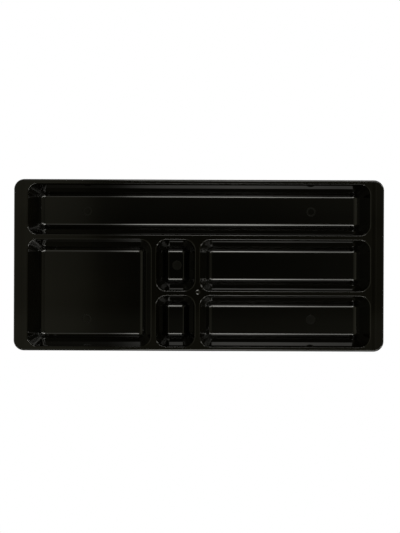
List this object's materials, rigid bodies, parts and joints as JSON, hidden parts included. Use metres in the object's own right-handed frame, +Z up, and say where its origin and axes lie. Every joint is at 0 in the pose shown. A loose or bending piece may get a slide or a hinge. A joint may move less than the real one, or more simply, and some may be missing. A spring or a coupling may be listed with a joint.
{
  "type": "compartment tray",
  "caption": "Shallow black plastic tray with leaning compartment walls, round floor fillets, a broad rim at each end and push-in rubber feet, for sorting or showing small items.",
  "frame": {"origin": "under the middle of the tray, on the surface that its feet stand on", "axes": "+X along the tray to the right, +Y to the back where the long trough is, +Z up"},
  "size_m": [0.356, 0.165, 0.036],
  "materials": {
    "tray_plastic": "black moulded plastic, glossy, with fine scuffs and a trace of dust",
    "foot_rubber": "dark grey matt rubber"
  },
  "bodies": {
    "root": {"tray": "tray_plastic", "foot_back_left": "foot_rubber", "foot_back_right": "foot_rubber", "foot_front_left": "foot_rubber", "foot_front_right": "foot_rubber", "foot_centre": "foot_rubber"}
  },
  "joints": []
}
